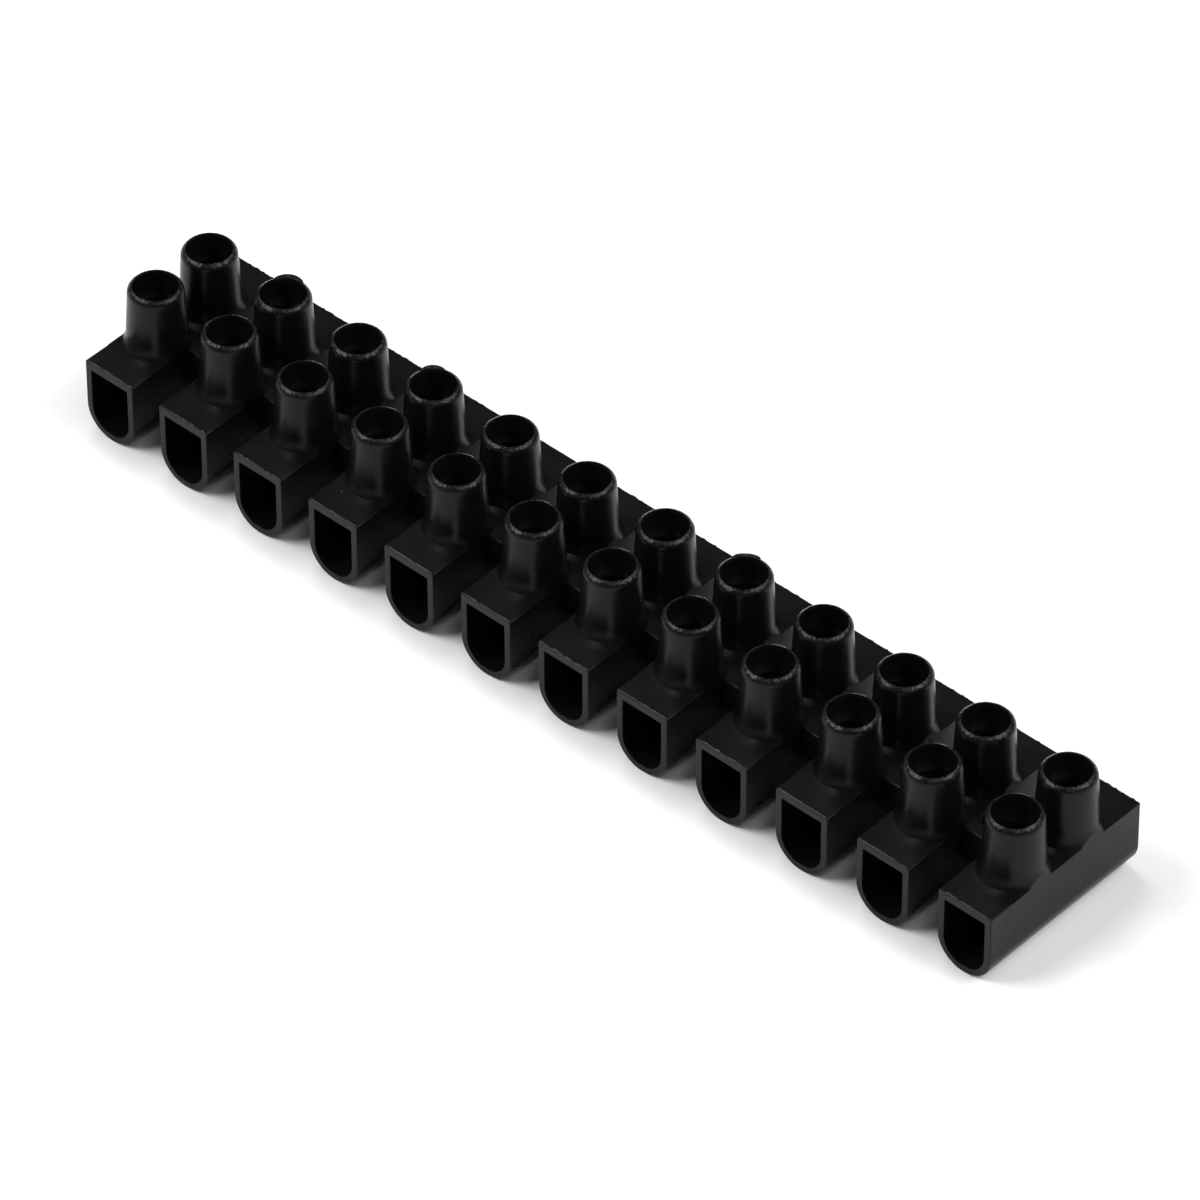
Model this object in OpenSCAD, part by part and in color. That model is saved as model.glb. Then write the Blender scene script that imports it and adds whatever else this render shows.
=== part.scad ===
// Twelve-pole terminal strip: a moulded insulating housing, a brass clamp barrel in each pole and two
// slotted clamping screws on each barrel. X runs along the strip, Y along the wires and Z up from the
// plane that the round pole bottoms rest on. The screws stand open, with the wire ways clear.

/* [Strip] */
// Distance from one pole to the next
pitch = 8; // [7.4:0.1:12]
// Width of one pole
pole_width = 5.1; // [4.8:0.1:5.8]
// Depth of the strip, from the front wire mouths to the back ones
strip_depth = 17; // [14:0.5:24]
// Height of the flat decks above the resting plane
deck_height = 6.85; // [6.2:0.05:9]
// Thickness of the side walls and of the round floor of a pole
side_wall = 0.6; // [0.4:0.05:0.75]
// Thickness of the deck over the inside of a pole
deck_wall = 0.7; // [0.4:0.05:1]

/* [Chimneys] */
// Distance between the two screw chimneys of a pole
screw_spacing = 6; // [5.8:0.1:8]
// Height of a chimney above the deck
chimney_rise = 5.65; // [4:0.05:8]
// Diameter of a chimney's bore where the screwdriver enters
chimney_bore = 3.7; // [3.3:0.05:3.85]
// Narrowing of the bore, on the radius, where it guides the screw head
guide_step = 0.2; // [0.1:0.05:0.3]
// Gap between an open screw's head and the wider part of the bore above it
driver_gap = 0.2; // [0.1:0.05:0.5]
// Wall of a chimney at its rim, before the rim is domed
rim_wall = 0.42; // [0.3:0.02:0.5]
// Wall of a chimney where it meets the deck
foot_wall = 0.68; // [0.5:0.02:0.69]
// Radius of the dome that draws the rim in to the bore
rim_round = 0.65; // [0.5:0.05:1.2]
// Fillet where a chimney runs out into the deck
foot_fillet = 0.2; // [0.1:0.05:0.45]

/* [Fixing webs] */
// Depth of the web that joins two poles
web_depth = 4.6; // [3.2:0.1:6]
// Thickness of the web, measured down from the decks
web_thickness = 3; // [1:0.1:4]
// Diameter of the fixing hole in a web
fixing_hole = 2.5; // [1.6:0.1:2.6]

/* [Clamp barrels] */
// Gap between a barrel and the pole around it
barrel_gap = 0.08; // [0.05:0.01:0.15]
// Metal left at a barrel's ends beyond the tapped holes
barrel_end = 0.4; // [0.3:0.05:1.2]
// Diameter of the wire way through a barrel
wire_way = 2.8; // [2:0.1:3]
// Depth of the lead-in at both ends of the wire way
lead_in = 0.2; // [0.1:0.05:0.3]

/* [Clamping screws] */
// Outer diameter of the screw thread
screw_diameter = 2.5; // [2:0.1:2.6]
// Gap between a screw and its tapped hole, on the radius
thread_gap = 0.05; // [0.03:0.01:0.1]
// Gap between a screw head and the bore that guides it, on the radius
head_gap = 0.15; // [0.1:0.05:0.3]
// Height of a screw head
head_height = 0.9; // [0.7:0.05:1.4]
// Bevel around the top of a screw head
head_bevel = 0.12; // [0.05:0.01:0.2]
// Width of the driver slot
slot_width = 0.6; // [0.4:0.05:0.8]
// Depth of the driver slot
slot_depth = 0.45; // [0.3:0.05:0.6]
// Bevel at a screw's tip
tip_bevel = 0.3; // [0.1:0.05:0.5]
// Gap between a screw's tip and the wire way when the screw is open
open_gap = 0.05; // [0.03:0.01:0.3]
// Gap left under a screw's tip when the screw is driven home on the thinnest wire
pinch_gap = 0.6; // [0.3:0.05:1]
// Gap between a screw head and its barrel when the screw is driven home
home_gap = 0.1; // [0.05:0.05:0.4]

/* [Hidden] */
POLES = 12;
ROWS = ["front", "back"];
$fn = 96;

// A pole is a D lying on its side: its round bottom is centred at half its width.
pole_radius = pole_width / 2;
inner_radius = pole_radius - side_wall;
inner_roof = deck_height - deck_wall;
rim_height = deck_height + chimney_rise;

// A chimney tapers from its foot to its rim and is sunk into the deck. Its rim is domed down to the bore.
bore_radius = chimney_bore / 2;
guide_bore = chimney_bore - 2 * guide_step;
rim_radius = bore_radius + rim_wall;
foot_radius = bore_radius + foot_wall;
rim_turn = acos((rim_round - rim_wall) / rim_round);
rim_drop = rim_round * sin(rim_turn);
foot_sink = deck_wall / 2;
arc_steps = 4;

// The web reaches halfway into the side walls on both sides.
web_width = pitch - pole_width + side_wall;

// A barrel follows the inside of its pole. Its wire way is centred in its round bottom.
barrel_radius = inner_radius - barrel_gap;
barrel_top = inner_roof - barrel_gap;
tapped_hole = screw_diameter + 2 * thread_gap;
barrel_length = screw_spacing + tapped_hole + 2 * barrel_end;
wire_radius = wire_way / 2;
wire_axis = pole_radius;

// A screw travels from open, with its tip above the wire way, to home on the thinnest wire.
head_diameter = guide_bore - 2 * head_gap;
tip_open = wire_axis + wire_radius + open_gap;
screw_travel = wire_way + open_gap - pinch_gap;
seat_open = barrel_top + home_gap + screw_travel;
driver_floor = seat_open + head_height + driver_gap;

// Cutting solids run past the faces that they cut.
cut = 0.5;

function two_digits(n) = n < 10 ? str("0", n) : str(n);
function barrel_name(pole) = str("barrel_", two_digits(pole));
function screw_name(pole, row) = str("screw_", two_digits(pole), "_", ROWS[row]);
function pole_x(pole) = (pole - (POLES + 1) / 2) * pitch;
function row_y(row) = (row - 0.5) * screw_spacing;
function arc(centre, radius, from, to) = [
    for (step = [0:arc_steps])
        let (angle = from + (to - from) * step / arc_steps)
        centre + radius * [cos(angle), sin(angle)]
];

// A D outline in X and Z with a round bottom about the pole's centre and a flat top.
module d_outline(radius, top) {
    translate([0, pole_radius])
        circle(r = radius);
    translate([-radius, pole_radius])
        square([2 * radius, top - pole_radius]);
}

// A D bar along Y, centred on the strip's depth.
module d_bar(radius, top, length) {
    rotate([90, 0, 0])
        linear_extrude(height = length, center = true)
            d_outline(radius, top);
}

// A chimney without its bore, standing on the deck. Its foot stops at the sides of its pole.
module chimney() {
    run_out = foot_radius + foot_fillet;
    profile = concat(
        [[0, -foot_sink], [run_out, -foot_sink]],
        arc([run_out, foot_fillet], foot_fillet, 270, 180),
        arc([rim_radius - rim_round, chimney_rise - rim_drop], rim_round, 0, rim_turn),
        [[0, chimney_rise]]
    );
    intersection() {
        rotate_extrude()
            polygon(profile);
        translate([-pole_radius, -run_out, -foot_sink])
            cube([pole_width, 2 * run_out, foot_sink + chimney_rise]);
    }
}

// The solid body of one pole with its two chimneys.
module pole_body() {
    d_bar(pole_radius, deck_height, strip_depth);
    for (row = [0:1])
        translate([0, row_y(row), deck_height])
            chimney();
}

// The hollow of one pole: the wire tunnel and two screw bores, each with a wider driver way at its top.
module pole_hollow() {
    d_bar(inner_radius, inner_roof, strip_depth + 2 * cut);
    for (row = [0:1])
        translate([0, row_y(row), 0]) {
            translate([0, 0, inner_roof - foot_sink])
                cylinder(d = guide_bore, h = rim_height - inner_roof + foot_sink);
            translate([0, 0, driver_floor])
                cylinder(d = chimney_bore, h = rim_height - driver_floor + cut);
        }
}

// The web between two poles, level with the decks.
module web() {
    translate([-web_width / 2, -web_depth / 2, deck_height - web_thickness])
        cube([web_width, web_depth, web_thickness]);
}

// The moulded insulating body of the whole strip.
module housing() {
    color("#232527")
        difference() {
            union() {
                for (pole = [1:POLES])
                    translate([pole_x(pole), 0, 0])
                        pole_body();
                for (pole = [1:POLES - 1])
                    translate([pole_x(pole + 0.5), 0, 0])
                        web();
            }
            for (pole = [1:POLES])
                translate([pole_x(pole), 0, 0])
                    pole_hollow();
            for (pole = [1:POLES - 1])
                translate([pole_x(pole + 0.5), 0, deck_height - web_thickness - cut])
                    cylinder(d = fixing_hole, h = web_thickness + 2 * cut);
        }
}

// A brass clamp barrel: a D bar with a wire way along it and two tapped holes from above.
module barrel() {
    color("#c2a158")
        difference() {
            d_bar(barrel_radius, barrel_top, barrel_length);
            translate([0, 0, wire_axis])
                rotate([90, 0, 0])
                    cylinder(d = wire_way, h = barrel_length + 2 * cut, center = true);
            for (side = [0:1])
                mirror([0, side, 0])
                    translate([0, -barrel_length / 2, wire_axis])
                        rotate([-90, 0, 0])
                            cylinder(r1 = wire_radius + lead_in, r2 = wire_radius, h = lead_in);
            for (row = [0:1])
                translate([0, row_y(row), wire_axis])
                    cylinder(d = tapped_hole, h = barrel_top - wire_axis + cut);
        }
}

// A slotted cheese-head clamping screw in its open place.
module screw() {
    shank = seat_open - tip_open;
    color("#b9bcc0")
        difference() {
            union() {
                translate([0, 0, tip_open])
                    cylinder(d1 = screw_diameter - 2 * tip_bevel, d2 = screw_diameter, h = tip_bevel);
                translate([0, 0, tip_open + tip_bevel])
                    cylinder(d = screw_diameter, h = shank - tip_bevel);
                translate([0, 0, seat_open])
                    cylinder(d = head_diameter, h = head_height - head_bevel);
                translate([0, 0, seat_open + head_height - head_bevel])
                    cylinder(d1 = head_diameter, d2 = head_diameter - 2 * head_bevel, h = head_bevel);
            }
            translate([-head_diameter, -slot_width / 2, seat_open + head_height - slot_depth])
                cube([2 * head_diameter, slot_width, slot_depth + cut]);
        }
}

housing();
for (pole = [1:POLES])
    translate([pole_x(pole), 0, 0])
            barrel();
for (pole = [1:POLES])
    for (row = [0:1])
        translate([pole_x(pole), row_y(row), 0])
                screw();
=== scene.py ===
"""A black twelve-pole terminal strip in a soft studio: moulded housing, brass barrels and plated screws.

Shapes are drawn in millimetres in the strip's own frame, with X along the strip, -Y out of the front wire
mouths and Z up the screw chimneys, and are turned into metres as they become objects.
"""
import logging
import math
import random
from collections.abc import Callable, Sequence
from dataclasses import dataclass, field
from enum import Enum
from typing import Any

import bmesh
import bpy
from mathutils import Matrix, Vector


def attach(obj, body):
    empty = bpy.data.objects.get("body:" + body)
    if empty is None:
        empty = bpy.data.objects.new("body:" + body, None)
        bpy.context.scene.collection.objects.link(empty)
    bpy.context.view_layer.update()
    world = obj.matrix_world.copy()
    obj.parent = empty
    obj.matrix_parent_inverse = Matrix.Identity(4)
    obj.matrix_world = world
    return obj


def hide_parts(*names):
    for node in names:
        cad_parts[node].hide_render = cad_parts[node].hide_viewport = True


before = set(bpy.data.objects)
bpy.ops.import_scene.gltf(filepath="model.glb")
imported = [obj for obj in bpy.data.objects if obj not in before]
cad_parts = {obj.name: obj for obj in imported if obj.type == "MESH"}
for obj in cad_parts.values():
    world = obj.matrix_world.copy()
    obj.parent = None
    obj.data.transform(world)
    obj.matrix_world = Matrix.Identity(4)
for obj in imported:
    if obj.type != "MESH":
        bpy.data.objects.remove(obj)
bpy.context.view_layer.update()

LOG = logging.getLogger("terminal_strip")
MM = 0.001
SENSOR_WIDTH_MM = 36.0
CLIP_START_M = 0.01

# How finely curves are drawn: the chords of a D's round bottom, of a small corner and of a rounded edge,
# the angles of the rings on a rounded edge, in degrees, and the points round a hole.
ROUND_STEPS = 40
CORNER_STEPS = 4
EDGE_STEPS = 3
EDGE_ANGLES = tuple(90 * i / EDGE_STEPS for i in range(EDGE_STEPS + 1))
HOLE_SEGMENTS = 48

# Cutting solids run this far past the faces that they cut, in millimetres.
PAST = 0.5

# A finished mesh joins points closer than this, in millimetres, and faces that bend less than this. Edges
# that bend more than the last value stay crisp.
WELD_MM = 0.0005
FLAT_DEGREES = 0.2
CRISP_DEGREES = 32.0

# Most of a noise pattern lies between these values.
NOISE_LOW = 0.3
NOISE_HIGH = 0.7

# A wave pattern at a scale of 1 has this many waves in each unit of length.
WAVES_PER_UNIT = 20 / (2 * math.pi)

Point = tuple[float, float]
Ring = list[Vector]
MaterialParts = tuple[bpy.types.Material, bpy.types.NodeTree, bpy.types.Node, bpy.types.NodeSocket]


class Row(Enum):
    """The two chimney rows, with the sign of their place along Y."""

    FRONT = -1
    BACK = 1

    @property
    def word(self) -> str:
        """The row's name as the solids spell it."""
        return self.name.lower()


class Cut(Enum):
    """The ways in which one solid works on another."""

    ADD = "UNION"
    TAKE = "DIFFERENCE"


def linear(hex_code: str) -> tuple[float, float, float, float]:
    """Turns an sRGB hex colour into linear light.

    Args:
        hex_code: Six hex digits, with or without a leading hash.

    Returns:
        Red, green, blue and an alpha of 1.
    """
    digits = hex_code.lstrip("#")
    shares = [int(digits[i:i + 2], 16) / 255 for i in (0, 2, 4)]
    # The sRGB curve is straight near black and a power above that.
    red, green, blue = (s / 12.92 if s <= 0.04045 else ((s + 0.055) / 1.055) ** 2.4 for s in shares)
    return red, green, blue, 1.0


def towards(bearing_degrees: float, rise_degrees: float) -> Vector:
    """The way from the strip to a place around it.

    Args:
        bearing_degrees: The place's bearing, counted from -Y towards +X.
        rise_degrees: How far up it is seen from the strip.

    Returns:
        A vector of length 1.
    """
    bearing, rise = math.radians(bearing_degrees), math.radians(rise_degrees)
    return Vector((math.sin(bearing) * math.cos(rise), -math.cos(bearing) * math.cos(rise), math.sin(rise)))


def half_turn(degrees: float) -> float:
    """The same angle, brought to between -180 and 180 degrees."""
    return (degrees + 180) % 360 - 180


def per_mm(size_mm: float) -> float:
    """The texture scale that gives a pattern of this size, in metres of object space."""
    return 1 / (size_mm * MM)


def add_node(tree: bpy.types.NodeTree, kind: str, settings: dict[str, Any] | None = None,
             **sockets: Any) -> bpy.types.Node:
    """Adds a node with its settings and links.

    Args:
        tree: The node tree that takes the node.
        kind: Blender's name for the node, without the leading "ShaderNode".
        settings: The node's own properties.
        sockets: Values or other nodes' outputs for the inputs, by name with _ for a space, or by number as
            i0, i1. A mix of colours has them at i6 and i7 and gives output 2.

    Returns:
        The new node.
    """
    node = tree.nodes.new("ShaderNode" + kind)
    for name, value in (settings or {}).items():
        setattr(node, name, value)
    for name, value in sockets.items():
        numbered = name[0] == "i" and name[1:].isdigit()
        socket = node.inputs[int(name[1:])] if numbered else node.inputs[name.replace("_", " ")]
        if isinstance(value, bpy.types.NodeSocket):
            tree.links.new(value, socket)
        else:
            socket.default_value = value
    return node


def new_material(name: str) -> MaterialParts:
    """Starts a node material.

    Args:
        name: The material's name.

    Returns:
        The material, its tree, its shader and the object-space coordinate that its patterns use.
    """
    material = bpy.data.materials.new(name)
    material.use_nodes = True
    tree = material.node_tree
    shader = tree.nodes["Principled BSDF"]
    place = add_node(tree, "TexCoord").outputs["Object"]
    return material, tree, shader, place


@dataclass(frozen=True)
class MouldedPolypropylene:
    """Black polypropylene, injection-moulded in a lightly spark-textured tool."""

    # Carbon black swallows nearly all light, so the eye reads the form from a broad satin sheen. The skin's
    # flow marks vary that sheen slowly, the tool's texture breaks it finely, and pale dust sits on what
    # faces up. The chimney lips are ragged, and their lighter grey is partly greyer plastic where the mould
    # closed on them and partly a painted highlight along the lip band.
    deep: str = "#060606"
    pale: str = "#0c0d0d"
    # The lip tone is partly a painted highlight on the chimney lips and partly greyer trimmed plastic.
    lip_grey_and_highlight: str = "#181919"
    dust: str = "#8b8a84"
    roughness_low: float = 0.25
    roughness_high: float = 0.34
    lip_roughness: float = 0.22
    ior: float = 1.49
    # The tool's texture scatters most of the gloss, so less than a third of a polished face's is left.
    gloss: float = 0.15
    flow_mm: float = 3.2
    # The real texture is about 0.03 mm, too fine to show, so it is drawn four times as coarse.
    grain_mm: float = 0.12
    grain_height_mm: float = 0.004
    lip_depth_mm: float = 0.36
    burr_mm: float = 0.32
    burr_height_mm: float = 0.08
    dust_spacing_mm: float = 2.4
    # A speck's radius as a share of the spacing, and how far up a face looks if it keeps dust.
    dust_size: float = 0.018
    dust_facing: float = 0.8

    def material(self, rim_mm: float) -> bpy.types.Material:
        """Makes the moulded finish.

        Args:
            rim_mm: The height of the rims, which are ragged along their lips.

        Returns:
            The material.
        """
        material, tree, shader, place = new_material("moulded_black_polypropylene")
        flow = add_node(tree, "TexNoise", Vector=place, Scale=per_mm(self.flow_mm), Detail=4.0,
                        Roughness=0.55)
        tone = add_node(tree, "Mix", {"data_type": "RGBA"}, Factor=flow.outputs["Fac"],
                        i6=linear(self.deep), i7=linear(self.pale))
        specks = add_node(tree, "TexVoronoi", Vector=place, Scale=per_mm(self.dust_spacing_mm))
        near = add_node(tree, "Math", {"operation": "LESS_THAN"}, i0=specks.outputs["Distance"],
                        i1=self.dust_size)
        facing = add_node(tree, "SeparateXYZ", Vector=add_node(tree, "NewGeometry").outputs["Normal"])
        up = add_node(tree, "Math", {"operation": "GREATER_THAN"}, i0=facing.outputs["Z"],
                      i1=self.dust_facing)
        dusty = add_node(tree, "Math", {"operation": "MULTIPLY"}, i0=near.outputs[0], i1=up.outputs[0])
        dusted = add_node(tree, "Mix", {"data_type": "RGBA"}, Factor=dusty.outputs[0],
                          i6=tone.outputs[2], i7=linear(self.dust))
        sheen = add_node(tree, "MapRange", Value=flow.outputs["Fac"],
                         From_Min=NOISE_LOW, From_Max=NOISE_HIGH,
                         To_Min=self.roughness_low, To_Max=self.roughness_high)
        grain = add_node(tree, "TexNoise", Vector=place, Scale=per_mm(self.grain_mm), Detail=3.0)
        texture = add_node(tree, "Bump", Strength=1.0, Distance=self.grain_height_mm * MM,
                           Height=grain.outputs["Fac"])
        height = add_node(tree, "SeparateXYZ", Vector=place)
        at_lip = add_node(tree, "MapRange", Value=height.outputs["Z"],
                          From_Min=(rim_mm - self.lip_depth_mm) * MM,
                          From_Max=(rim_mm - self.lip_depth_mm / 2) * MM)
        burr = add_node(tree, "TexNoise", Vector=place, Scale=per_mm(self.burr_mm), Detail=2.0)
        torn = add_node(tree, "MapRange", Value=burr.outputs["Fac"],
                        From_Min=NOISE_LOW, From_Max=NOISE_HIGH)
        # Along the lips the lighter lip tone is laid in ragged patches, partly a painted highlight.
        patchy = add_node(tree, "Math", {"operation": "MULTIPLY"}, i0=at_lip.outputs["Result"],
                        i1=torn.outputs["Result"])
        colour = add_node(tree, "Mix", {"data_type": "RGBA"}, Factor=patchy.outputs[0],
                          i6=dusted.outputs[2], i7=linear(self.lip_grey_and_highlight))
        skin = add_node(tree, "Mix", Factor=at_lip.outputs["Result"], i2=sheen.outputs["Result"],
                        i3=self.lip_roughness)
        ragged = add_node(tree, "Bump", Strength=at_lip.outputs["Result"], Distance=self.burr_height_mm * MM,
                          Height=burr.outputs["Fac"], Normal=texture.outputs["Normal"])
        shader.inputs["IOR"].default_value = self.ior
        shader.inputs["Specular IOR Level"].default_value = self.gloss
        tree.links.new(colour.outputs[2], shader.inputs["Base Color"])
        tree.links.new(skin.outputs[0], shader.inputs["Roughness"])
        tree.links.new(ragged.outputs["Normal"], shader.inputs["Normal"])
        return material


@dataclass(frozen=True)
class DrawnBrass:
    """Leaded brass drawn to a D bar, sawn, drilled and left unplated."""

    # Drawing leaves fine lines along the bar, and handling leaves darker brown patches on the yellow metal.
    bright: str = "#8d7440"
    tarnish: str = "#55452c"
    roughness_low: float = 0.34
    roughness_high: float = 0.5
    patch_mm: float = 1.8
    # The patches begin at this value of their noise.
    patch_edge: float = 0.35
    line_width_mm: float = 0.06
    line_length_mm: float = 5.0
    line_height_mm: float = 0.002

    def material(self) -> bpy.types.Material:
        """Makes the drawn metal.

        Returns:
            The material.
        """
        material, tree, shader, place = new_material("drawn_brass")
        patch = add_node(tree, "TexNoise", Vector=place, Scale=per_mm(self.patch_mm), Detail=5.0,
                         Roughness=0.6)
        patchy = add_node(tree, "MapRange", Value=patch.outputs["Fac"],
                        From_Min=self.patch_edge, From_Max=NOISE_HIGH)
        colour = add_node(tree, "Mix", {"data_type": "RGBA"}, Factor=patchy.outputs["Result"],
                          i6=linear(self.bright), i7=linear(self.tarnish))
        sheen = add_node(tree, "MapRange", Value=patch.outputs["Fac"],
                         From_Min=NOISE_LOW, From_Max=NOISE_HIGH,
                         To_Min=self.roughness_low, To_Max=self.roughness_high)
        across, along = per_mm(self.line_width_mm), per_mm(self.line_length_mm)
        stretched = add_node(tree, "Mapping", Vector=place, Scale=(across, along, across))
        lines = add_node(tree, "TexNoise", Vector=stretched.outputs["Vector"], Scale=1.0, Detail=2.0)
        drawn = add_node(tree, "Bump", Strength=1.0, Distance=self.line_height_mm * MM,
                         Height=lines.outputs["Fac"])
        shader.inputs["Metallic"].default_value = 1.0
        tree.links.new(colour.outputs[2], shader.inputs["Base Color"])
        tree.links.new(sheen.outputs["Result"], shader.inputs["Roughness"])
        tree.links.new(drawn.outputs["Normal"], shader.inputs["Normal"])
        return material


@dataclass(frozen=True)
class ZincPlatedSteel:
    """Turned mild steel with a thin bright zinc coat."""

    # The zinc is a cool silver with a faint blue cast and cloudy patches, over rings left by the lathe. The
    # sawn slot's floor is painted dark, a painted shade where the slot's walls hold back light.
    bright: str = "#c3c8ce"
    cloudy: str = "#a3a7ad"
    slot_shade: str = "#35332f"
    roughness_low: float = 0.3
    roughness_high: float = 0.42
    cloud_mm: float = 0.7
    # Real rings are about 0.1 mm apart, too fine to show, so they are drawn ten times as coarse.
    ring_mm: float = 1.005
    ring_height_mm: float = 0.0008
    slot_shade_depth_mm: float = 0.12

    def material(self, slot_floor_mm: float) -> bpy.types.Material:
        """Makes the plated metal.

        Args:
            slot_floor_mm: The height of the slots' floors, which carry a painted shade.

        Returns:
            The material.
        """
        material, tree, shader, place = new_material("zinc_plated_turned_steel")
        cloud = add_node(tree, "TexNoise", Vector=place, Scale=per_mm(self.cloud_mm), Detail=4.0)
        plate = add_node(tree, "Mix", {"data_type": "RGBA"}, Factor=cloud.outputs["Fac"],
                         i6=linear(self.bright), i7=linear(self.cloudy))
        height = add_node(tree, "SeparateXYZ", Vector=place)
        # The slots' floors take the dark slot tone, a painted shade where the slot's walls hold back light.
        slot_shaded = add_node(tree, "Math", {"operation": "COMPARE"}, i0=height.outputs["Z"],
                        i1=slot_floor_mm * MM, i2=self.slot_shade_depth_mm * MM)
        colour = add_node(tree, "Mix", {"data_type": "RGBA"}, Factor=slot_shaded.outputs[0],
                          i6=plate.outputs[2], i7=linear(self.slot_shade))
        sheen = add_node(tree, "MapRange", Value=cloud.outputs["Fac"],
                         From_Min=NOISE_LOW, From_Max=NOISE_HIGH,
                         To_Min=self.roughness_low, To_Max=self.roughness_high)
        rings = add_node(tree, "TexWave", {"wave_type": "RINGS", "rings_direction": "Z"}, Vector=place,
                         Scale=per_mm(self.ring_mm) / WAVES_PER_UNIT, Distortion=0.6)
        turned_rings = add_node(tree, "Bump", Strength=1.0, Distance=self.ring_height_mm * MM,
                                Height=rings.outputs["Fac"])
        shader.inputs["Metallic"].default_value = 1.0
        tree.links.new(colour.outputs[2], shader.inputs["Base Color"])
        tree.links.new(sheen.outputs["Result"], shader.inputs["Roughness"])
        tree.links.new(turned_rings.outputs["Normal"], shader.inputs["Normal"])
        return material


@dataclass(frozen=True)
class MattePaper:
    """White uncoated paper from a roll."""

    # Paper spreads light evenly, with a barely seen cloudiness from its fibres and hardly any gloss.
    white: str = "#e8e8e8"
    shade: str = "#e4e4e3"
    roughness: float = 0.95
    gloss: float = 0.1
    fibre_mm: float = 9.0

    def material(self) -> bpy.types.Material:
        """Makes the paper.

        Returns:
            The material.
        """
        material, tree, shader, place = new_material("matte_white_paper")
        fibre = add_node(tree, "TexNoise", Vector=place, Scale=per_mm(self.fibre_mm), Detail=6.0)
        colour = add_node(tree, "Mix", {"data_type": "RGBA"}, Factor=fibre.outputs["Fac"],
                          i6=linear(self.white), i7=linear(self.shade))
        shader.inputs["Roughness"].default_value = self.roughness
        shader.inputs["Specular IOR Level"].default_value = self.gloss
        tree.links.new(colour.outputs[2], shader.inputs["Base Color"])
        return material


def arc(centre: Point, radius: float, start: float, end: float, steps: int) -> list[Point]:
    """Points along an arc.

    Args:
        centre: The arc's centre.
        radius: Its radius.
        start: The angle it starts at, in degrees.
        end: The angle it ends at, in degrees.
        steps: How many chords it has.

    Returns:
        One point more than there are chords.
    """
    angles = (math.radians(start + (end - start) * i / steps) for i in range(steps + 1))
    return [(centre[0] + radius * math.cos(a), centre[1] + radius * math.sin(a)) for a in angles]


def loft(rings: Sequence[Ring], looped: bool) -> bmesh.types.BMesh:
    """Skins a row of rings that have the same number of points.

    Args:
        rings: The rings in order.
        looped: True joins the last ring to the first, and False closes both ends with a face.

    Returns:
        A closed shell whose faces look outwards.
    """
    shell = bmesh.new()
    made = [[shell.verts.new(point) for point in ring] for ring in rings]
    for low, high in zip(made, made[1:] + made[:1] if looped else made[1:]):
        for i in range(len(low)):
            j = (i + 1) % len(low)
            shell.faces.new((low[i], low[j], high[j], high[i]))
    if not looped:
        shell.faces.new(made[0][::-1])
        shell.faces.new(made[-1])
    bmesh.ops.recalc_face_normals(shell, faces=shell.faces)
    return shell


def on_circle(radius: float, angle: float, height: float) -> Vector:
    """The point on a circle about Z at this angle, in radians."""
    return Vector((radius * math.cos(angle), radius * math.sin(angle), height))


def turned(profile: Sequence[Point], segments: int,
           shape: Callable[[float, float, float], Vector] = on_circle) -> bmesh.types.BMesh:
    """Turns a profile about Z into a closed solid.

    Args:
        profile: Radius and height pairs from the lowest ring to the highest.
        segments: How many points go round.
        shape: Where the point at a radius, angle and height lies.

    Returns:
        The solid.
    """
    angles = [2 * math.pi * i / segments for i in range(segments)]
    rings = [[shape(radius, angle, height) for angle in angles] for radius, height in profile]
    return loft(rings, looped=False)


def block(low: Vector, high: Vector, bevel: float) -> bmesh.types.BMesh:
    """Makes a box with rounded edges.

    Args:
        low: Its lowest corner.
        high: Its highest corner.
        bevel: The width of the rounding.

    Returns:
        The box.
    """
    shell = bmesh.new()
    middle = Matrix.Translation((low + high) / 2) @ Matrix.Diagonal((*(high - low), 1.0))
    bmesh.ops.create_cube(shell, size=1.0, matrix=middle)
    bmesh.ops.bevel(shell, geom=list(shell.edges), offset=bevel, segments=EDGE_STEPS, affect="EDGES",
                    profile=0.5)
    return shell


def as_object(name: str, *shells: bmesh.types.BMesh) -> bpy.types.Object:
    """Joins shells into one object, still in millimetres.

    Args:
        name: The object's name.
        shells: What it is made of. They are used up.

    Returns:
        The object, linked to the scene.
    """
    mesh = bpy.data.meshes.new(name)
    whole = bmesh.new()
    for shell in shells:
        shell.to_mesh(mesh)
        whole.from_mesh(mesh)
        shell.free()
    whole.to_mesh(mesh)
    whole.free()
    made = bpy.data.objects.new(name, mesh)
    bpy.context.scene.collection.objects.link(made)
    return made


def as_shell(made: bpy.types.Object) -> bmesh.types.BMesh:
    """Turns an object back into a shell.

    Args:
        made: The object. It is used up.

    Returns:
        The shell.
    """
    shell = bmesh.new()
    shell.from_mesh(made.data)
    bpy.data.meshes.remove(made.data)
    return shell


def copies(shell: bmesh.types.BMesh, places: Sequence[Vector]) -> list[bmesh.types.BMesh]:
    """Copies a shell to several places.

    Args:
        shell: What is copied. It is used up.
        places: How far each copy moves.

    Returns:
        One shell per place.
    """
    made = []
    for place in places:
        twin = shell.copy()
        bmesh.ops.translate(twin, vec=place, verts=twin.verts)
        made.append(twin)
    shell.free()
    return made


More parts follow.
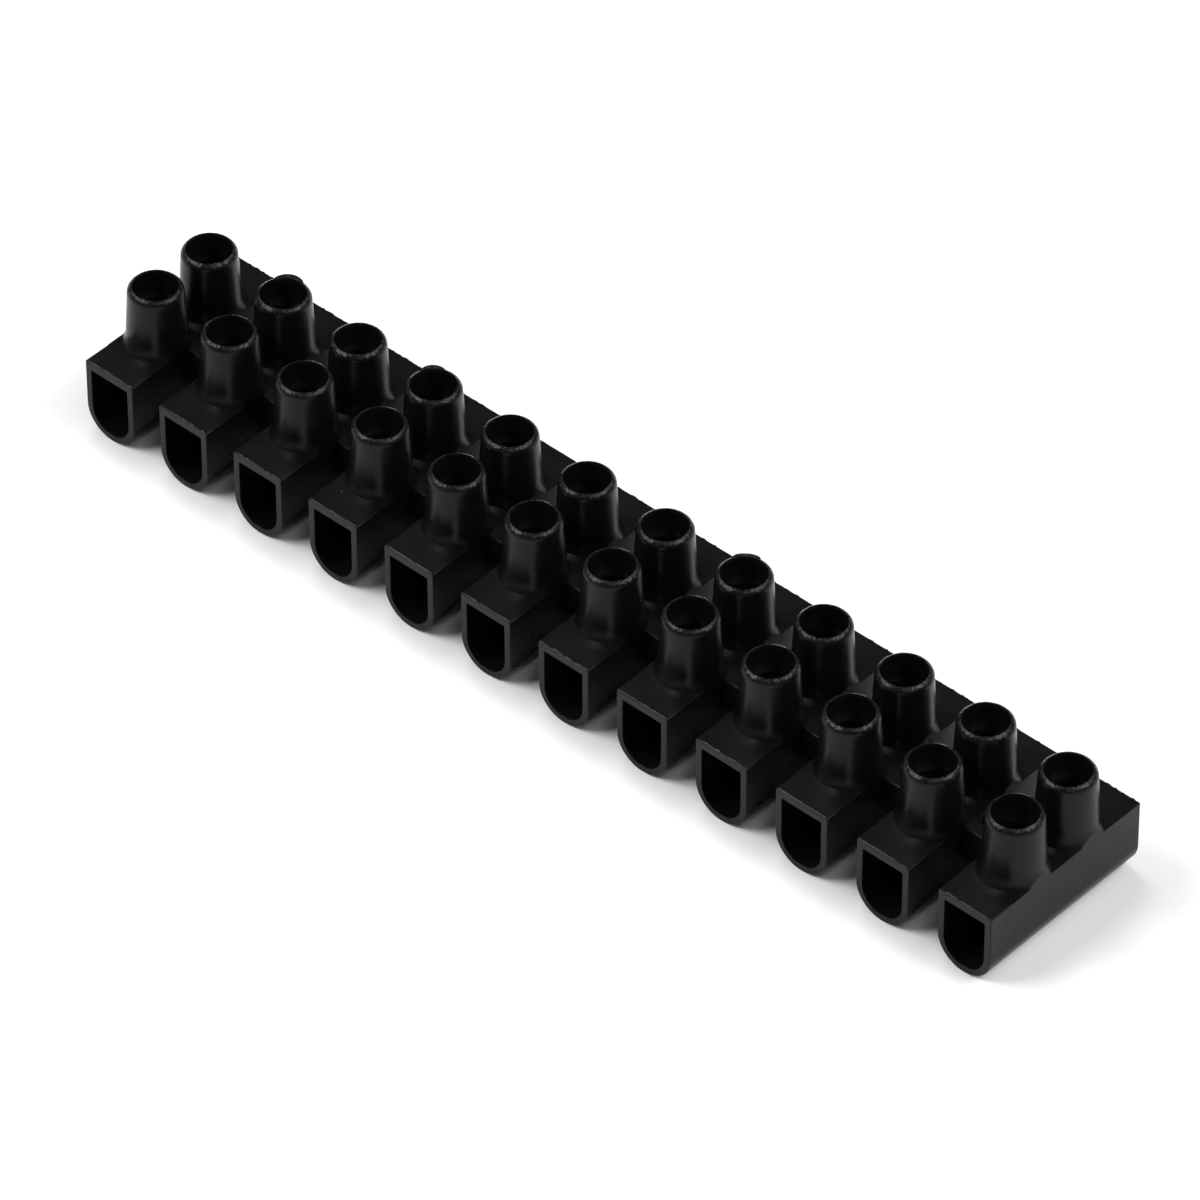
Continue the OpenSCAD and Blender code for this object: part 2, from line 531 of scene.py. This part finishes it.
def carve(body: bpy.types.Object, tool: bpy.types.Object, cut: Cut) -> None:
    """Adds a tool's solid to a body, or takes it away, and removes the tool.

    Args:
        body: The object that is changed.
        tool: The object that changes it.
        cut: Whether the tool is added or taken away.
    """
    work = body.modifiers.new("carve", "BOOLEAN")
    work.operation = cut.value
    work.solver = "MANIFOLD"
    work.object = tool
    seen = body.evaluated_get(bpy.context.evaluated_depsgraph_get())
    before, result = body.data, bpy.data.meshes.new_from_object(seen)
    body.modifiers.remove(work)
    body.data = result
    result.name = body.name
    bpy.data.meshes.remove(before)
    bpy.data.meshes.remove(tool.data)


def settle(made: bpy.types.Object, material: bpy.types.Material) -> None:
    """Cleans a finished mesh, turns it into metres, shades it and gives it its material.

    Args:
        made: The object.
        material: Its finish.
    """
    shell = bmesh.new()
    shell.from_mesh(made.data)
    bmesh.ops.remove_doubles(shell, verts=shell.verts, dist=WELD_MM)
    bmesh.ops.dissolve_degenerate(shell, edges=shell.edges, dist=WELD_MM)
    bmesh.ops.dissolve_limit(shell, angle_limit=math.radians(FLAT_DEGREES), verts=shell.verts,
                             edges=shell.edges)
    bmesh.ops.scale(shell, vec=(MM, MM, MM), verts=shell.verts)
    shell.to_mesh(made.data)
    shell.free()
    made.data.materials.clear()
    made.data.materials.append(material)
    made.data.shade_smooth()
    made.data.set_sharp_from_angle(angle=math.radians(CRISP_DEGREES))
    weights = made.modifiers.new("flat_faces_stay_flat", "WEIGHTED_NORMAL")
    weights.keep_sharp = True


def twins(master: bpy.types.Object, count: int) -> list[bpy.types.Object]:
    """Copies a finished object before it is given to a body.

    Args:
        master: What is copied.
        count: How many objects there are in all.

    Returns:
        The object itself and its copies, which share its mesh.
    """
    made = [master] + [master.copy() for _ in range(count - 1)]
    for twin in made[1:]:
        bpy.context.scene.collection.objects.link(twin)
    return made


@dataclass(frozen=True)
class StripSizes:
    """Sizes that more than one piece of the strip follows, in millimetres."""

    poles: int = 12
    pitch: float = 8.0
    pole_width: float = 5.1
    side_wall: float = 0.6
    deck_height: float = 6.85
    deck_wall: float = 0.7
    screw_spacing: float = 6.0
    chimney_rise: float = 5.65
    chimney_bore: float = 3.7
    guide_step: float = 0.2
    wire_way: float = 2.8
    screw_diameter: float = 2.5
    thread_gap: float = 0.05
    barrel_gap: float = 0.08
    open_gap: float = 0.05
    pinch_gap: float = 0.6
    home_gap: float = 0.1
    head_height: float = 0.9

    @property
    def pole_radius(self) -> float:
        """Half a pole's width, which is also the height of its wire way."""
        return self.pole_width / 2

    @property
    def inner_radius(self) -> float:
        """Half the width of a pole's hollow."""
        return self.pole_radius - self.side_wall

    @property
    def inner_roof(self) -> float:
        """The height of the roof over a pole's hollow."""
        return self.deck_height - self.deck_wall

    @property
    def rim_height(self) -> float:
        """The height of the chimney rims."""
        return self.deck_height + self.chimney_rise

    @property
    def barrel_top(self) -> float:
        """The height of a barrel's flat top."""
        return self.inner_roof - self.barrel_gap

    @property
    def guide_radius(self) -> float:
        """The radius of a chimney's bore around the screw head."""
        return self.chimney_bore / 2 - self.guide_step

    @property
    def seat(self) -> float:
        """The height of an open screw head's underside."""
        travel = self.wire_way + self.open_gap - self.pinch_gap
        return self.barrel_top + self.home_gap + travel

    def pole_x(self, pole: float) -> float:
        """Where a pole lies along the strip, counted from 1 at the left end."""
        return (pole - (self.poles + 1) / 2) * self.pitch

    def row_y(self, row: Row) -> float:
        """Where a chimney row lies across the strip."""
        return row.value * self.screw_spacing / 2

    def row_places(self) -> list[Vector]:
        """How far the two chimney rows lie from a pole's middle."""
        return [Vector((0.0, self.row_y(row), 0.0)) for row in Row]


def d_ring(radius: float, top: float, corner: float, centre: float, y: float) -> Ring:
    """A D outline with a round bottom and a flat top, standing across Y.

    Args:
        radius: The radius of its round bottom and half its width.
        top: The height of its flat top.
        corner: The rounding of its two top corners.
        centre: The height of the round bottom's centre.
        y: Where it stands.

    Returns:
        The outline's points, anticlockwise from the left.
    """
    outline = arc((0.0, centre), radius, 180, 360, ROUND_STEPS)
    outline += arc((radius - corner, top - corner), corner, 0, 90, CORNER_STEPS)
    outline += arc((corner - radius, top - corner), corner, 90, 180, CORNER_STEPS)
    return [Vector((x, y, z)) for x, z in outline]


@dataclass(frozen=True)
class Flash:
    """A thin flake of plastic left where the mould closed on the far rim of a back chimney."""

    pole: int
    bearing_degrees: float
    half_degrees: float
    reach: float
    # The flake's edge is a bell at 2 and nearly straight at higher values.
    fullness: float


@dataclass
class Housing:
    """The moulded insulating body: D tubes side by side, two chimneys on each, and webs between them."""

    sizes: StripSizes
    depth: float = 17.0
    edge_round: float = 0.09
    mouth_round: float = 0.05
    rim_wall: float = 0.42
    foot_wall: float = 0.68
    rim_round: float = 0.65
    bore_round: float = 0.05
    driver_gap: float = 0.2
    # A chimney flares out as it nears the deck.
    flare_out: float = 0.3
    flare_rise: float = 1.3
    flare_power: float = 2.4
    flare_steps: int = 12
    # Beyond the flare the deck rises to the foot in a wide, shallow skirt. It is full at one bearing, and
    # half its width away from there only the least share of its rise is left.
    skirt_radius: float = 4.0
    skirt_slope: float = 16.0
    skirt_bearing: float = 28.0
    skirt_half: float = 36.0
    skirt_least: float = 0.2
    skirt_steps: int = 8
    rim_steps: int = 10
    foot_sink: float = 0.35
    # The skirt starts just under the deck, so that the two surfaces cross instead of only touching.
    foot_dip: float = 0.008
    web_depth: float = 4.6
    web_thickness: float = 3.0
    web_round: float = 0.12
    fixing_hole: float = 2.5
    hole_round: float = 0.1
    segments: int = 96
    # A flake of flash grows out of its root. Its top edge lies below the rim by its drop and rises to its
    # middle.
    flash_root: float = 1.9
    flash_root_low: float = 0.12
    flash_root_high: float = 0.04
    flash_least: float = 0.02
    flash_drop: float = 0.07
    flash_rise: float = 0.055
    flash_thickness: float = 0.07
    flash_steps: int = 16
    flashes: tuple[Flash, ...] = (
        Flash(pole=2, bearing_degrees=208.0, half_degrees=42.0, reach=2.36, fullness=2.0),
        Flash(pole=4, bearing_degrees=226.0, half_degrees=34.0, reach=2.32, fullness=2.0),
        Flash(pole=8, bearing_degrees=216.0, half_degrees=36.0, reach=2.2, fullness=6.0),
    )
    # The bead of burr along a mouth changes its thickness at every step.
    burr_low: float = 0.02
    burr_high: float = 0.14
    burr_inset: float = 0.14
    burr_step: float = 0.24
    # Above 1 most of the bead is thin, with a few thick lumps.
    burr_power: float = 1.6
    # The bead has flat sides, turned so that one of them leans back.
    burr_sides: int = 8
    burr_start: float = 30.5
    burr_seed: int = 5
    finish: MouldedPolypropylene = field(default_factory=MouldedPolypropylene)

    def tube(self) -> bmesh.types.BMesh:
        """One pole's D tube, open at both wire ends, with rounded edges.

        Returns:
            The tube, in the middle of the strip.
        """
        s = self.sizes
        inner = []
        outer = []
        for side in (-1, 1):
            face = side * self.depth / 2
            lips = []
            for angle in map(math.radians, EDGE_ANGLES):
                inset = self.edge_round * (1 - math.cos(angle))
                y = face - side * self.edge_round * (1 - math.sin(angle))
                lips.append(d_ring(s.pole_radius - inset, s.deck_height - inset, self.edge_round,
                                   s.pole_radius, y))
            throat = []
            for angle in map(math.radians, reversed(EDGE_ANGLES)):
                outset = self.mouth_round * (1 - math.cos(angle))
                y = face - side * self.mouth_round * (1 - math.sin(angle))
                throat.append(d_ring(s.inner_radius + outset, s.inner_roof + outset, self.edge_round,
                                     s.pole_radius, y))
            outer.append(lips)
            inner.append(throat)
        rings = outer[0] + inner[0] + inner[1][::-1] + outer[1][::-1]
        return loft(rings, looped=True)

    def chimney(self) -> bmesh.types.BMesh:
        """One chimney without its bore, with its foot cut at the pole's sides.

        Returns:
            The chimney, standing on the deck in the middle of the strip.
        """
        s = self.sizes
        bore = s.chimney_bore / 2
        lean = math.radians(self.skirt_slope)
        wall_x = bore + self.foot_wall
        run_out = wall_x + self.flare_out + self.skirt_radius * math.sin(lean)
        skirt_z = self.skirt_radius - self.foot_dip
        skirt_rise = self.skirt_radius * (1 - math.cos(lean))
        rim_x = bore + self.rim_wall - self.rim_round
        rim_turn = math.acos((self.rim_round - self.rim_wall) / self.rim_round)
        rim_z = s.chimney_rise - self.rim_round * math.sin(rim_turn)
        profile = [(run_out, -self.foot_sink)]
        profile += arc((run_out, skirt_z), self.skirt_radius, 270, 270 - self.skirt_slope, self.skirt_steps)
        taper = (self.foot_wall - self.rim_wall) / rim_z
        for i in range(1, self.flare_steps + 1):
            share = i / self.flare_steps
            rise = self.flare_rise * share
            spread = self.flare_out * (1 - share) ** self.flare_power
            profile.append((wall_x - taper * rise + spread, skirt_rise - self.foot_dip + rise))
        profile += arc((rim_x, rim_z), self.rim_round, 0, math.degrees(rim_turn), self.rim_steps)
        # The last ring lies within the bore, which is cut later.
        profile.append((bore - self.rim_wall, s.chimney_rise))

        def clipped(radius: float, angle: float, height: float) -> Vector:
            """Holds a point between the pole's sides and lowers the skirt off its bearing.

            Args:
                radius: The point's distance from the chimney's axis.
                angle: Its angle round the axis, in radians.
                height: Its height above the deck.

            Returns:
                Where the point lies.
            """
            # Bearings are counted from -Y, a quarter turn before the +X that angles are counted from.
            off = half_turn(math.degrees(angle) + 90 - self.skirt_bearing)
            high = max(0.0, 1 - (off / self.skirt_half) ** 2) ** 2
            lost = (1 - self.skirt_least) * (1 - high)
            if -self.foot_dip <= height < s.chimney_rise / 2:
                height -= lost * min(height + self.foot_dip, skirt_rise)
            x = max(-s.pole_radius, min(s.pole_radius, radius * math.cos(angle)))
            return Vector((x, radius * math.sin(angle), s.deck_height + height))

        return turned(profile, self.segments, clipped)

    def bore(self) -> bmesh.types.BMesh:
        """The space inside one chimney, with a rounded edge at the rim.

        Returns:
            The solid to cut away, from the hollow to above the rim.
        """
        s = self.sizes
        radius = s.chimney_bore / 2
        step = s.seat + s.head_height + self.driver_gap
        flare = arc((radius + self.bore_round, s.rim_height - self.bore_round), self.bore_round, 180, 90,
                    CORNER_STEPS)
        profile = [(s.guide_radius, s.inner_roof - self.foot_sink), (s.guide_radius, step)]
        profile += [(radius, step), *flare]
        profile.append((radius + self.bore_round, s.rim_height + PAST))
        return turned(profile, self.segments)

    def flake(self, flash: Flash) -> bmesh.types.BMesh:
        """One flake of flash, rooted in the dome of its rim and a little lower than the rim.

        Args:
            flash: Where it is and how far it reaches from the chimney's axis.

        Returns:
            The flake.
        """
        s = self.sizes
        axis = Vector((s.pole_x(flash.pole), s.row_y(Row.BACK), s.rim_height))
        least = self.flash_root + self.flash_least
        rings = []
        for i in range(self.flash_steps + 1):
            along = 2 * i / self.flash_steps - 1
            share = 1 - abs(along) ** flash.fullness
            way = towards(flash.bearing_degrees + along * flash.half_degrees, 0.0)
            reach = least + (flash.reach - least) * share
            top = self.flash_rise * share - self.flash_drop
            outline = [(self.flash_root, -self.flash_root_low), (reach, top - self.flash_thickness),
                       (reach, top), (self.flash_root, -self.flash_root_high)]
            rings.append([axis + way * out + Vector((0.0, 0.0, z)) for out, z in outline])
        return loft(rings, looped=False)

    def burr(self, pole: int, row: Row, draw: random.Random) -> bmesh.types.BMesh:
        """The uneven bead left along the top edge of one wire mouth.

        Args:
            pole: The pole, counted from 1.
            row: The side that the mouth faces.
            draw: Where its thickness comes from.

        Returns:
            The bead, half sunk in the edge.
        """
        s = self.sizes
        half = s.pole_radius - self.burr_inset
        start = Vector((s.pole_x(pole) - half, row.value * (self.depth / 2 - self.burr_inset),
                        s.deck_height))
        steps = round(2 * half / self.burr_step)
        end = self.burr_start + 360 - 360 / self.burr_sides
        rings = []
        for i in range(steps + 1):
            thick = self.burr_low + (self.burr_high - self.burr_low) * draw.random() ** self.burr_power
            middle = start + Vector((2 * half * i / steps, 0.0, 0.0))
            outline = arc((0.0, 0.0), thick, self.burr_start, end, self.burr_sides - 1)
            rings.append([middle + Vector((0.0, row.value * out, up)) for out, up in outline])
        return loft(rings, looped=False)

    def web(self) -> bmesh.types.BMesh:
        """One web between two poles, level with the decks.

        Returns:
            The web without its hole, reaching halfway into the walls on both sides.
        """
        s = self.sizes
        half = Vector(((s.pitch - s.pole_width + s.side_wall) / 2, self.web_depth / 2, 0.0))
        low = Vector((-half.x, -half.y, s.deck_height - self.web_thickness))
        return block(low, Vector((half.x, half.y, s.deck_height)), self.web_round)

    def fixing_bore(self) -> bmesh.types.BMesh:
        """The space of one fixing hole, rounded where it leaves the web above and below.

        Returns:
            The solid to cut away.
        """
        s = self.sizes
        wide = self.fixing_hole / 2 + self.hole_round
        low, high = s.deck_height - self.web_thickness, s.deck_height
        profile = [(wide, low - PAST)]
        profile += arc((wide, low + self.hole_round), self.hole_round, 270, 180, EDGE_STEPS)
        profile += arc((wide, high - self.hole_round), self.hole_round, 180, 90, EDGE_STEPS)
        profile.append((wide, high + PAST))
        return turned(profile, HOLE_SEGMENTS)

    def build(self) -> list[bpy.types.Object]:
        """Builds the whole moulding.

        Returns:
            The moulding alone, riding on the strip.
        """
        s = self.sizes
        rows = s.row_places()
        poles = [Vector((s.pole_x(pole), 0.0, 0.0)) for pole in range(1, s.poles + 1)]
        gaps = [Vector((s.pole_x(pole + 0.5), 0.0, 0.0)) for pole in range(1, s.poles)]
        one_pole = as_object("one_pole", self.tube())
        for chimney in copies(self.chimney(), rows):
            carve(one_pole, as_object("chimney", chimney), Cut.ADD)
        carve(one_pole, as_object("bores", *copies(self.bore(), rows)), Cut.TAKE)
        one_web = as_object("one_web", self.web())
        carve(one_web, as_object("fixing_bore", self.fixing_bore()), Cut.TAKE)
        moulding = as_object("housing_moulding", *copies(as_shell(one_pole), poles))
        carve(moulding, as_object("webs", *copies(as_shell(one_web), gaps)), Cut.ADD)
        draw = random.Random(self.burr_seed)
        burrs = [self.burr(pole, row, draw) for pole in range(1, s.poles + 1) for row in Row]
        carve(moulding, as_object("burrs", *burrs, *map(self.flake, self.flashes)), Cut.ADD)
        settle(moulding, self.finish.material(s.rim_height))
        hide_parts("housing")
        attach(moulding, "strip")
        return [moulding]


@dataclass
class ClampBarrels:
    """The brass barrels: D bars with a wire way along them and two tapped holes from above."""

    sizes: StripSizes
    end_metal: float = 0.4
    end_bevel: float = 0.12
    top_corner: float = 0.15
    lead_in: float = 0.2
    hole_bevel: float = 0.12
    finish: DrawnBrass = field(default_factory=DrawnBrass)

    def bar(self) -> bmesh.types.BMesh:
        """The bar with its wire way and bevelled ends.

        Returns:
            The bar without its tapped holes, in the middle of the strip.
        """
        s = self.sizes
        radius = s.inner_radius - s.barrel_gap
        half = (s.screw_spacing + s.screw_diameter + 2 * s.thread_gap) / 2 + self.end_metal
        way = s.wire_way / 2

        def bar_ring(inset: float, y: float) -> Ring:
            """A ring of the bar's outside, drawn in by the end bevel."""
            return d_ring(radius - inset, s.barrel_top - inset, self.top_corner, s.pole_radius, y)

        def round_ring(size: float, y: float) -> Ring:
            """A ring of the wire way whose points face those of the bar's outline."""
            middle = Vector((0.0, y, s.pole_radius))
            return [middle + (point - middle).normalized() * size for point in bar_ring(0.0, y)]

        rings = [bar_ring(0.0, self.end_bevel - half), bar_ring(self.end_bevel, -half)]
        rings += [round_ring(way + self.lead_in, -half), round_ring(way, self.lead_in - half)]
        rings += [round_ring(way, half - self.lead_in), round_ring(way + self.lead_in, half)]
        rings += [bar_ring(self.end_bevel, half), bar_ring(0.0, half - self.end_bevel)]
        return loft(rings, looped=True)

    def tapped_hole(self) -> bmesh.types.BMesh:
        """The space of one tapped hole with a countersunk mouth.

        Returns:
            The solid to cut away.
        """
        s = self.sizes
        radius = s.screw_diameter / 2 + s.thread_gap
        profile = [(radius, s.pole_radius), (radius, s.barrel_top - self.hole_bevel)]
        profile.append((radius + self.hole_bevel + PAST, s.barrel_top + PAST))
        return turned(profile, HOLE_SEGMENTS)

    def build(self) -> list[bpy.types.Object]:
        """Builds one barrel for each pole.

        Returns:
            The barrels in order, riding on the strip.
        """
        s = self.sizes
        master = as_object("clamp_barrel_01", self.bar())
        carve(master, as_object("tapped_holes", *copies(self.tapped_hole(), s.row_places())), Cut.TAKE)
        settle(master, self.finish.material())
        barrels = twins(master, s.poles)
        for pole, barrel in enumerate(barrels, 1):
            barrel.name = f"clamp_barrel_{pole:02d}"
            barrel.location.x = s.pole_x(pole) * MM
            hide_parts(f"barrel_{pole:02d}")
            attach(barrel, "strip")
        return barrels


@dataclass
class ClampScrews:
    """The slotted cheese-head screws, one in each chimney, shown open."""

    sizes: StripSizes
    head_gap: float = 0.15
    head_bevel: float = 0.12
    seat_bevel: float = 0.04
    slot_width: float = 0.6
    slot_depth: float = 0.45
    slot_round: float = 0.05
    tip_bevel: float = 0.3
    thread_pitch: float = 0.45
    thread_depth: float = 0.24
    # The share of a thread's pitch that is flat, at its crest and again at its root.
    thread_flat: float = 0.12
    rows_per_turn: int = 8
    segments: int = 40
    turn_seed: int = 12
    finish: ZincPlatedSteel = field(default_factory=ZincPlatedSteel)

    @property
    def tip(self) -> float:
        """The height of an open screw's tip, just clear of the wire way."""
        s = self.sizes
        return s.pole_radius + s.wire_way / 2 + s.open_gap

    def groove(self, angle: float, height: float) -> float:
        """How deep the thread is cut.

        Args:
            angle: The angle round the screw, in radians.
            height: The height up the screw.

        Returns:
            The share of the full depth, fading out under the head.
        """
        phase = (height - self.tip) / self.thread_pitch - angle / (2 * math.pi)
        flank = abs(2 * (phase - math.floor(phase)) - 1)
        fade = min(1.0, max(0.0, (self.sizes.seat - height) / self.thread_pitch))
        return fade * min(1.0, max(0.0, (flank - self.thread_flat) / (1 - 2 * self.thread_flat)))

    def shape(self) -> bpy.types.Object:
        """One screw on its own axis, with its thread cut as a helix and its slot across the head.

        Returns:
            The screw, at its open height.
        """
        s = self.sizes
        crest = s.screw_diameter / 2
        head = s.guide_radius - self.head_gap
        top = s.seat + s.head_height
        shank = s.seat - self.tip
        steps = round(shank / self.thread_pitch * self.rows_per_turn)
        profile = [(crest, self.tip + shank * i / steps) for i in range(steps + 1)]
        profile += [(head - self.seat_bevel, s.seat), (head, s.seat + self.seat_bevel)]
        profile += arc((head - self.head_bevel, top - self.head_bevel), self.head_bevel, 0, 90,
                       CORNER_STEPS)

        def threaded(radius: float, angle: float, height: float) -> Vector:
            """Cuts the thread and the bevelled tip.

            Args:
                radius: The profile's radius, which is the crest's along the shank and nowhere else.
                angle: The angle round the screw, in radians.
                height: The height up the screw.

            Returns:
                A point on the thread, the tip or the plain head.
            """
            if radius == crest:
                radius = min(radius - self.thread_depth * self.groove(angle, height),
                             crest - self.tip_bevel + (height - self.tip))
            return on_circle(radius, angle, height)

        made = as_object("clamp_screw_01_front", turned(profile, self.segments, threaded))
        low = Vector((-head - PAST, -self.slot_width / 2, top - self.slot_depth))
        high = Vector((head + PAST, self.slot_width / 2, top + PAST))
        carve(made, as_object("slot", block(low, high, self.slot_round)), Cut.TAKE)
        return made

    def build(self) -> list[bpy.types.Object]:
        """Builds a screw for each chimney, each turned to its own slot angle.

        Returns:
            The screws, each riding on its own body.
        """
        s = self.sizes
        draw = random.Random(self.turn_seed)
        master = self.shape()
        settle(master, self.finish.material(s.seat + s.head_height - self.slot_depth))
        seats = [(pole, row) for pole in range(1, s.poles + 1) for row in Row]
        screws = twins(master, len(seats))
        for (pole, row), screw in zip(seats, screws):
            body = f"screw_{pole:02d}_{row.word}"
            screw.name = "clamp_" + body
            screw.location = Vector((s.pole_x(pole), s.row_y(row), 0.0)) * MM
            screw.rotation_euler.z = draw.uniform(0, math.pi)
            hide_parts(body)
            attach(screw, body)
        return screws


@dataclass(frozen=True)
class SoftBox:
    """A rectangular studio light, placed by its bearing from the strip."""

    name: str
    bearing_degrees: float
    rise_degrees: float
    width_mm: float
    height_mm: float
    watts: float
    distance_mm: float = 900.0

    def build(self) -> None:
        """Hangs the light and points it at the strip."""
        way = towards(self.bearing_degrees, self.rise_degrees)
        lamp = bpy.data.lights.new(self.name, "AREA")
        lamp.shape = "RECTANGLE"
        lamp.size = self.width_mm * MM
        lamp.size_y = self.height_mm * MM
        lamp.energy = self.watts
        made = bpy.data.objects.new(self.name, lamp)
        made.location = way * self.distance_mm * MM
        made.rotation_euler = way.to_track_quat("Z", "Y").to_euler()
        bpy.context.scene.collection.objects.link(made)
        LOG.info("%s: %.1f W", self.name, self.watts)


@dataclass
class Studio:
    """The paper floor, the lights, the dim room and the camera."""

    floor_mm: float = 4000.0
    # The room's brightness at the horizon and overhead, and the height at which it has faded.
    room_colour: str = "#ffffff"
    horizon: float = 0.3
    room: float = 0.03
    horizon_rise: float = 0.35
    camera_bearing: float = 42.55
    camera_rise: float = 42.5
    camera_roll: float = -0.25
    camera_distance_mm: float = 750.0
    lens_mm: float = 294.0
    aim_right_mm: float = 0.01
    aim_up_mm: float = 3.22
    paper: MattePaper = field(default_factory=MattePaper)
    # Two large softboxes light the strip from the left and the right, and two small ones its far side. The
    # top one, the front panel and the faint back panel give the feet, the lips and the decks something to
    # mirror.
    lights: tuple[SoftBox, ...] = (
        SoftBox("left_softbox", bearing_degrees=-42.0, rise_degrees=46.0,
                width_mm=480.0, height_mm=500.0, watts=7.4),
        SoftBox("right_softbox", bearing_degrees=114.0, rise_degrees=46.0,
                width_mm=500.0, height_mm=500.0, watts=6.4),
        SoftBox("rear_left_softbox", bearing_degrees=-85.0, rise_degrees=44.0,
                width_mm=360.0, height_mm=400.0, watts=1.2),
        SoftBox("rear_right_softbox", bearing_degrees=162.0, rise_degrees=44.0,
                width_mm=360.0, height_mm=400.0, watts=1.5),
        SoftBox("top_softbox", bearing_degrees=-122.0, rise_degrees=67.0,
                width_mm=280.0, height_mm=280.0, watts=1.9),
        SoftBox("front_panel", bearing_degrees=60.0, rise_degrees=54.0,
                width_mm=300.0, height_mm=500.0, watts=1.2),
        SoftBox("back_panel", bearing_degrees=-137.5, rise_degrees=43.0,
                width_mm=700.0, height_mm=440.0, watts=0.1),
    )

    def floor(self) -> None:
        """Lays the paper."""
        sheet = bmesh.new()
        bmesh.ops.create_grid(sheet, x_segments=1, y_segments=1, size=self.floor_mm / 2)
        made = as_object("paper_floor", sheet)
        made.data.transform(Matrix.Scale(MM, 4))
        made.data.materials.append(self.paper.material())
        LOG.info("paper_floor: %.0f mm wide", self.floor_mm)

    def surroundings(self) -> None:
        """Fills the room with light that is bright near the floor and dim above."""
        world = bpy.data.worlds.new("studio_room")
        bpy.context.scene.world = world
        world.use_nodes = True
        tree = world.node_tree
        way = add_node(tree, "SeparateXYZ", Vector=add_node(tree, "TexCoord").outputs["Generated"])
        glow = add_node(tree, "MapRange", {"interpolation_type": "SMOOTHSTEP"}, Value=way.outputs["Z"],
                        From_Min=0.0, From_Max=self.horizon_rise, To_Min=self.horizon, To_Max=self.room)
        tree.links.new(glow.outputs["Result"], tree.nodes["Background"].inputs["Strength"])
        tree.nodes["Background"].inputs["Color"].default_value = linear(self.room_colour)

    def camera(self) -> None:
        """Sets the camera up at the photo's angle and frame."""
        bearing = math.radians(self.camera_bearing)
        back = towards(self.camera_bearing, self.camera_rise)
        right = Vector((math.cos(bearing), math.sin(bearing), 0.0))
        up = back.cross(right)
        place = right * self.aim_right_mm + up * self.aim_up_mm + back * self.camera_distance_mm
        roll = math.radians(self.camera_roll)
        tilted_right = right * math.cos(roll) + up * math.sin(roll)
        tilted_up = up * math.cos(roll) - right * math.sin(roll)
        lens = bpy.data.cameras.new("photo_camera")
        lens.sensor_width = SENSOR_WIDTH_MM
        lens.lens = self.lens_mm
        lens.clip_start = CLIP_START_M
        made = bpy.data.objects.new("photo_camera", lens)
        turn = Matrix((tilted_right, tilted_up, back)).transposed().to_4x4()
        made.matrix_world = Matrix.Translation(place * MM) @ turn
        bpy.context.scene.collection.objects.link(made)
        bpy.context.scene.camera = made
        LOG.info("photo_camera: %.0f mm lens", self.lens_mm)

    def build(self) -> None:
        """Sets up the whole studio with a plain view transform."""
        self.floor()
        self.surroundings()
        for light in self.lights:
            light.build()
        self.camera()
        bpy.context.scene.view_settings.view_transform = "Standard"


def main() -> None:
    """Builds the strip piece by piece, then the studio around it."""
    logging.basicConfig(level=logging.INFO, format="%(message)s")
    sizes = StripSizes()
    for assembly in (Housing(sizes), ClampBarrels(sizes), ClampScrews(sizes)):
        for piece in assembly.build():
            LOG.info("%s: %d faces", piece.name, len(piece.data.polygons))
    Studio().build()


if __name__ == "__main__":
    main()
